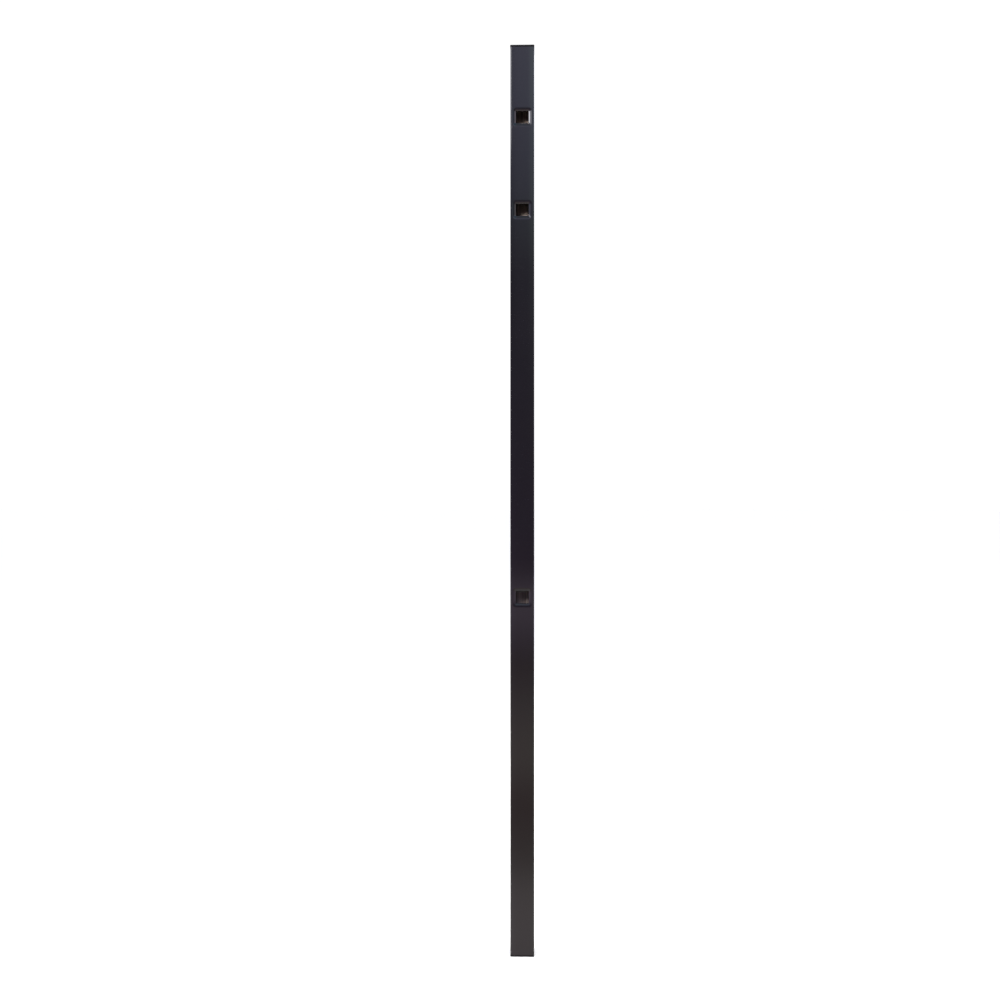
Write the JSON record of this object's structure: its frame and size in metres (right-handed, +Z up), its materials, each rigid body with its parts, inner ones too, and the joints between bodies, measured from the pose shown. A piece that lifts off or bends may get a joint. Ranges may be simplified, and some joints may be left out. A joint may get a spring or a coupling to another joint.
{
  "type": "square fence post with cap",
  "caption": "Square black aluminium end post for a metal fence, with rail openings punched through its front wall and a flat push-in cap.",
  "frame": {"origin": "centre of the tube's cut end at the foot of the post", "axes": "+Z up along the tube, towards the cap; the wall with the rail openings faces -Y; +X is to the right, seen from the front"},
  "size_m": [0.0514, 0.0514, 1.9345],
  "materials": {
    "coated_aluminium": "satin",
    "cap_plastic": "matte"
  },
  "bodies": {
    "post": {"post_tube": "coated_aluminium"},
    "cap": {"post_cap": "cap_plastic"}
  },
  "joints": [
    {"name": "cap_lift", "type": "slide", "parent": "post", "child": "cap", "axis": [0, 0, 1], "range_m": [0, 0.035]}
  ]
}
